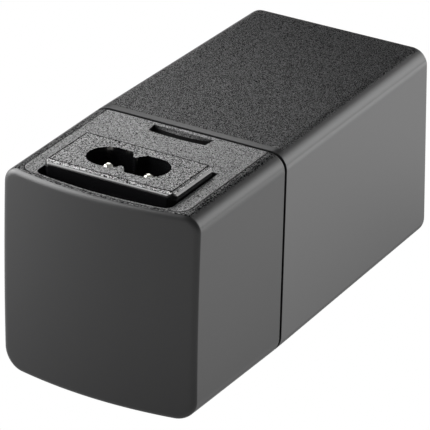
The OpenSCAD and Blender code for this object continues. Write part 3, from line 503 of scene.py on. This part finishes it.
def plastic(name, code, rough, grain=0.0, grain_mm=0.3, grain_rough=0.35, level=0.5, pit_shade_peak_glint=0.5,
            side=1.0, start=None, painted_side_level=PLAIN_LEVEL):
    """Moulded plastic. Faces that look up carry a grain etched in the mould, the others are smooth.

    Up is a smooth step of the normal's height from UP_FROM to UP_FULL times side, and the grain's share is
    up past y = start. Pits and peaks share one noise f of x and y: the surface rises by f, the specular
    level is the mix by up of the sideways level (faces looking along x: a painted sheen where it is above
    PLAIN_LEVEL, a painted shade where it is below) or PLAIN_LEVEL (other faces) and level, plus share times
    the swing by f, which paints shade in the pits and glints on the peaks. The noise is read in the plane
    half way between two of its layers, where it is strongest.
    """
    mat, tree, shader = new_material(name, code, rough)
    if not grain:
        return mat
    place = add(tree, "ShaderNodeTexCoord")
    facing = add(tree, "ShaderNodeSeparateXYZ", place.outputs["Normal"])
    up = add(tree, "ShaderNodeMapRange", facing.outputs["Z"], interpolation_type="SMOOTHSTEP",
             from_min=UP_FROM * side, from_max=UP_FULL * side)
    share = up
    if start is not None:
        where = add(tree, "ShaderNodeSeparateXYZ", place.outputs["Object"])
        past = add(tree, "ShaderNodeMapRange", where.outputs["Y"],
                   from_min=start * MM, from_max=(start + START_FADE) * MM)
        share = add(tree, "ShaderNodeMath", up.outputs[0], past.outputs[0], operation="MULTIPLY")
    flat = add(tree, "ShaderNodeMapping", place.outputs["Object"], scale=(1, 1, 0),
               location=(0, 0, grain_mm * MM / 2))
    noise = add(tree, "ShaderNodeTexNoise", flat.outputs[0], scale=1 / (grain_mm * MM), detail=1.0)
    height = add(tree, "ShaderNodeMath", share.outputs[0], noise.outputs["Fac"], operation="MULTIPLY")
    bump = add(tree, "ShaderNodeBump", height=height.outputs[0], strength=1.0, distance=grain * MM)
    dull = add(tree, "ShaderNodeMapRange", up.outputs[0], to_min=rough, to_max=grain_rough)
    # Painted light on faces looking sideways: their own specular level, a painted sheen above PLAIN_LEVEL and
    # a painted shade below it
    sideways = add(tree, "ShaderNodeMath", facing.outputs["X"], operation="ABSOLUTE")
    painted_side_light = add(tree, "ShaderNodeMapRange", sideways.outputs[0], interpolation_type="SMOOTHSTEP",
                 from_min=FLANK_FROM, from_max=FLANK_FULL, to_min=PLAIN_LEVEL, to_max=painted_side_level)
    base = add(tree, "ShaderNodeMapRange", up.outputs[0], to_min=painted_side_light.outputs[0], to_max=level)
    # Painted shade in the grain's pits and painted glints on its peaks: the specular level swings with the
    # noise
    painted_grain_light = add(tree, "ShaderNodeMapRange", noise.outputs["Fac"], from_min=PIT, from_max=PEAK,
                 to_min=-pit_shade_peak_glint, to_max=pit_shade_peak_glint)
    part = add(tree, "ShaderNodeMath", share.outputs[0], painted_grain_light.outputs[0], operation="MULTIPLY")
    total = add(tree, "ShaderNodeMath", part.outputs[0], base.outputs[0], operation="ADD")
    bare = add(tree, "ShaderNodeMath", total.outputs[0], 0.0, operation="MAXIMUM")
    tree.links.new(bump.outputs["Normal"], shader.inputs["Normal"])
    tree.links.new(dull.outputs[0], shader.inputs["Roughness"])
    tree.links.new(bare.outputs[0], shader.inputs["Specular IOR Level"])
    return mat


def metal(name, code, rough):
    """Bare or plated metal."""
    return new_material(name, code, rough, 1.0)[0]


def paint(obj, mat):
    """Puts one material on every slot of an object."""
    if not obj.data.materials:
        obj.data.materials.append(mat)
    for i in range(len(obj.data.materials)):
        obj.data.materials[i] = mat


# The real grains are about 0.1 mm wide, half a pixel of the render, so they are drawn wider to show

# Injection-moulded polycarbonate of the casing: a spark-eroded grain sparkles on top, through painted glints
# on its peaks and painted shade in its pits; the sides are satin, brightened by a painted sheen from a raised
# specular level
casing = plastic("casing plastic", "#0c0c0d", 0.42, grain=0.1, grain_mm=0.24, level=0.2, painted_side_level=1.15)
# The same on the sleeve, whose grain is finer and stops short of the split in a smooth band, and whose sides
# carry a stronger painted sheen
sleeve_plastic = plastic("sleeve plastic", "#0c0c0d", 0.42, grain=0.1, grain_mm=0.14, level=0.23,
                         pit_shade_peak_glint=0.75, start=Y_SPLIT + GRAIN_START, painted_side_level=1.8)
# The same on the inlet panel, with a grain that throws back more light, so that the panel looks greyer, and
# stronger painted shade in its pits and painted glints on its peaks
panel_plastic = plastic("panel plastic", "#0c0c0d", 0.42, grain=0.1, grain_mm=0.16, grain_rough=0.42,
                        level=1.2, pit_shade_peak_glint=1.4)
# Glass-filled nylon of the inlet: a coarse grain on the block's top and bevels, made bright by strong painted
# glints on its peaks and painted shade in its pits; glossy black walls, those looking sideways darkened
# further by painted shade from a low specular level
inlet = plastic("inlet plastic", "#0a0a0b", 0.15, grain=0.12, grain_mm=0.17, grain_rough=0.4, level=1.2,
                pit_shade_peak_glint=3.0, side=0.8, painted_side_level=0.1)
# Moulded nylon of the output socket: plain satin black
socket = plastic("socket plastic", "#0b0b0c", 0.4)
# Nickel plating on turned brass: bright, slightly warm, with tight highlights
nickel = metal("nickel plating", "#d8d6d0", 0.18)
# Glass-fibre board under solder resist: dark green with a soft gloss
board = plastic("board resist", "#1e4a2c", 0.35)
# Zinc-plated steel of the screws: cool and a little dull
zinc = metal("zinc plating", "#b9bcc0", 0.3)
# Aluminium sheet of the heat sinks, as rolled: grey with a broad sheen
aluminium = metal("rolled aluminium", "#b4b6b8", 0.35)
# Sintered ferrite of the cores: dull dark grey
ferrite = plastic("sintered ferrite", "#2b2b2d", 0.6)
# Enamelled copper wire of the choke: reddish brown metal
copper = metal("enamelled copper", "#a5602f", 0.35)
# Polyester tape round the transformer's windings: yellow with a soft gloss
tape = plastic("yellow tape", "#c9a227", 0.4)
# Moulded nylon of the bobbin and the choke's base: dark grey satin
nylon = plastic("nylon", "#3a3a3c", 0.5)
# Shrunk film on the electrolytic capacitors, left plain: dark blue and glossy
film = plastic("capacitor film", "#1c2436", 0.25)
# Moulded epoxy of the chips: dull black
epoxy = plastic("black epoxy", "#161617", 0.55)
# Dipped coating of the varistor and the capacitor across the barrier: blue satin
blue = plastic("blue coating", "#23539b", 0.45)
# Dipped coating of the thermistor: green satin
green = plastic("green coating", "#2e5a38", 0.5)
# Moulded box of the film capacitor: pale yellow satin
yellow = plastic("capacitor box", "#c7b25a", 0.45)
# Ceramic tube of the fuse: off-white with a soft gloss
ceramic = plastic("white ceramic", "#d9d6cc", 0.4)
# Polyester sheet under the board: grey with a gloss
sheet = plastic("insulating film", "#5c5f63", 0.3)
# Extruded vinyl of the leads: brown satin
vinyl = plastic("brown vinyl", "#4a2c1c", 0.45)
# Shrink tube on the pins' tails and round the output choke: black satin
shrink = plastic("shrink tube", "#121213", 0.5)

# The material of each node
PAINTS = {
    "rear_sleeve": sleeve_plastic, "front_cap": casing, "inlet_panel": panel_plastic, "inlet_body": inlet,
    "inlet_pins": nickel, "inlet_leads": vinyl, "tail_sleeves": shrink, "output_socket": socket,
    "socket_pin": nickel, "socket_contact": nickel, "circuit_board": board, "board_screws": zinc,
    "insulating_sheet": sheet, "fuse_tube": ceramic, "fuse_caps": nickel, "varistor": blue,
    "thermistor": green, "x_capacitor": yellow, "choke_core": ferrite, "choke_windings": copper,
    "choke_base": nylon, "bridge_rectifier": epoxy, "bulk_capacitors": film,
    "transformer_core": ferrite, "transformer_bobbin": nylon, "transformer_winding": tape,
    "primary_heat_sink": aluminium, "switch_transistor": epoxy, "controller_chip": epoxy,
    "y_capacitor": blue, "optocoupler": epoxy, "output_rectifier": epoxy,
    "secondary_heat_sink": aluminium, "output_capacitors": film, "output_choke": shrink,
    "heat_sink_screws": zinc,
}
# The nodes that a computed piece replaces, with the piece's shape and slot
SHAPES = {
    "rear_sleeve": (sleeve_shape, "casing_plastic"), "front_cap": (cap_shape, "casing_plastic"),
    "inlet_panel": (panel_shape, "panel_plastic"), "inlet_body": (inlet_shape, "inlet_plastic"),
}

for name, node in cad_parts.items():
    paint(node, PAINTS[name])
for name, (shape, slot) in SHAPES.items():
    obj = shape()
    paint(obj, PAINTS[name])
    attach(obj, "root")
    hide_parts(name)

# Stage, light and camera

# Half the floor's width, in millimetres
FLOOR_REACH = 3000
# Strength of the floor in reflections at the body's foot, and the distance over which it rises to 1
SHADE = 0.68
SHADE_REACH = 45.0
WHITE = (1, 1, 1, 1)
# Plain grey light of the world on the object
WORLD_GREY = (0.25, 0.25, 0.25, 1)
# Camera solved from the photo's outlines: focal length and half the frame in pixels, turn, height angle
# and roll in degrees, shift and the point that it is measured from in millimetres
FOCAL_PX = 3504.268
HALF_FRAME_PX = 215
AZIMUTH, ELEVATION, ROLL = 29.73, 26.081, 1.401
SHIFT = (-5.371, 2.849, 660.62)
AIM = (0.0, Y_SPLIT, 21.07)


def floor():
    """A floor that is plain white to the camera, and that the lamps light.

    In reflections it is white too, but for the soft shade round the body's foot: over the distance
    from the body's plan its strength rises from SHADE to 1.
    """
    obj = mesh_object("floor", [(x * FLOOR_REACH, y * FLOOR_REACH, 0) for x, y in box_plan(-1, -1, 1, 1)],
                      [(0, 1, 2, 3)])
    mat, tree, shader = new_material("floor", "#e8e8e8", 0.9)
    path = add(tree, "ShaderNodeLightPath")
    away = add(tree, "ShaderNodeTexCoord").outputs["Object"]
    for operation, value in (("ABSOLUTE", (0, 0, 0)), ("SUBTRACT", (BODY_W / 2 * MM, TOTAL / 2 * MM, 0)),
                             ("MAXIMUM", (0, 0, 0)), ("LENGTH", (0, 0, 0))):
        step = add(tree, "ShaderNodeVectorMath", away, value, operation=operation)
        away = step.outputs[1 if operation == "LENGTH" else 0]
    shade = add(tree, "ShaderNodeMapRange", away, from_min=0.0, from_max=SHADE_REACH * MM,
                to_min=SHADE, to_max=1.0)
    lit = add(tree, "ShaderNodeMath", path.outputs["Is Camera Ray"], shade.outputs[0], operation="MAXIMUM")
    seen = add(tree, "ShaderNodeEmission", color=WHITE, strength=lit.outputs[0])
    either = add(tree, "ShaderNodeMath", path.outputs["Is Camera Ray"], path.outputs["Is Glossy Ray"],
                 operation="MAXIMUM")
    mix = add(tree, "ShaderNodeMixShader", either.outputs[0], shader.outputs[0], seen.outputs[0])
    tree.links.new(mix.outputs[0], tree.nodes["Material Output"].inputs["Surface"])
    paint(obj, mat)


def lamp(name, energy, width, depth, place, aim):
    """A soft lamp of some watts and a size in metres at a place, turned to its aim."""
    data = bpy.data.lights.new(name, "AREA")
    data.energy = energy
    data.shape = "RECTANGLE"
    data.size = width
    data.size_y = depth
    obj = bpy.data.objects.new(name, data)
    obj.location = place
    obj.rotation_euler = (Vector(aim) - Vector(place)).to_track_quat("-Z", "Y").to_euler()
    bpy.context.scene.collection.objects.link(obj)


def place_camera():
    """Camera whose rows are right, down and forward: q = R(P - AIM) + SHIFT."""
    az, el, roll = (math.radians(v) for v in (AZIMUTH, ELEVATION, ROLL))
    back = np.array([math.sin(az) * math.cos(el), -math.cos(az) * math.cos(el), math.sin(el)])
    right = np.array([math.cos(az), math.sin(az), 0.0])
    up = np.cross(right, -back)
    turn = np.array([[math.cos(roll), -math.sin(roll), 0], [math.sin(roll), math.cos(roll), 0], [0, 0, 1]])
    rows = turn @ np.array([right, -up, -back])
    spot = (np.array(AIM) - rows.T @ np.array(SHIFT)) * MM
    data = bpy.data.cameras.new("camera")
    data.angle = 2 * math.atan(HALF_FRAME_PX / FOCAL_PX)
    data.clip_start = 0.01
    obj = bpy.data.objects.new("camera", data)
    axes = Matrix([[rows[0][i], -rows[1][i], -rows[2][i]] for i in range(3)])
    obj.matrix_world = Matrix.Translation(spot.tolist()) @ axes.to_4x4()
    bpy.context.scene.collection.objects.link(obj)
    bpy.context.scene.camera = obj


def white_world():
    """White to the camera, and a plain grey light on the object."""
    world = bpy.data.worlds.new("world")
    bpy.context.scene.world = world
    world.use_nodes = True
    tree = world.node_tree
    seen = tree.nodes["Background"]
    seen.inputs["Color"].default_value = WHITE
    light = add(tree, "ShaderNodeBackground", color=WORLD_GREY, strength=1.0)
    path = add(tree, "ShaderNodeLightPath")
    mix = add(tree, "ShaderNodeMixShader", path.outputs["Is Camera Ray"], light.outputs[0], seen.outputs[0])
    tree.links.new(mix.outputs[0], tree.nodes["World Output"].inputs["Surface"])


bpy.context.scene.view_settings.view_transform = "Standard"
floor()
lamp("key lamp", 12.0, 0.6, 0.6, (-0.47, -0.21, 0.26), (0, 0, 0.02))
lamp("right lamp", 2.6, 0.6, 0.3, (0.33, 0.45, 0.15), (0, 0, 0.02))
lamp("left lamp", 0.09, 0.07, 0.07, (-0.062, 0.062, 0.13), (0, -0.02, 0.042))
place_camera()
white_world()
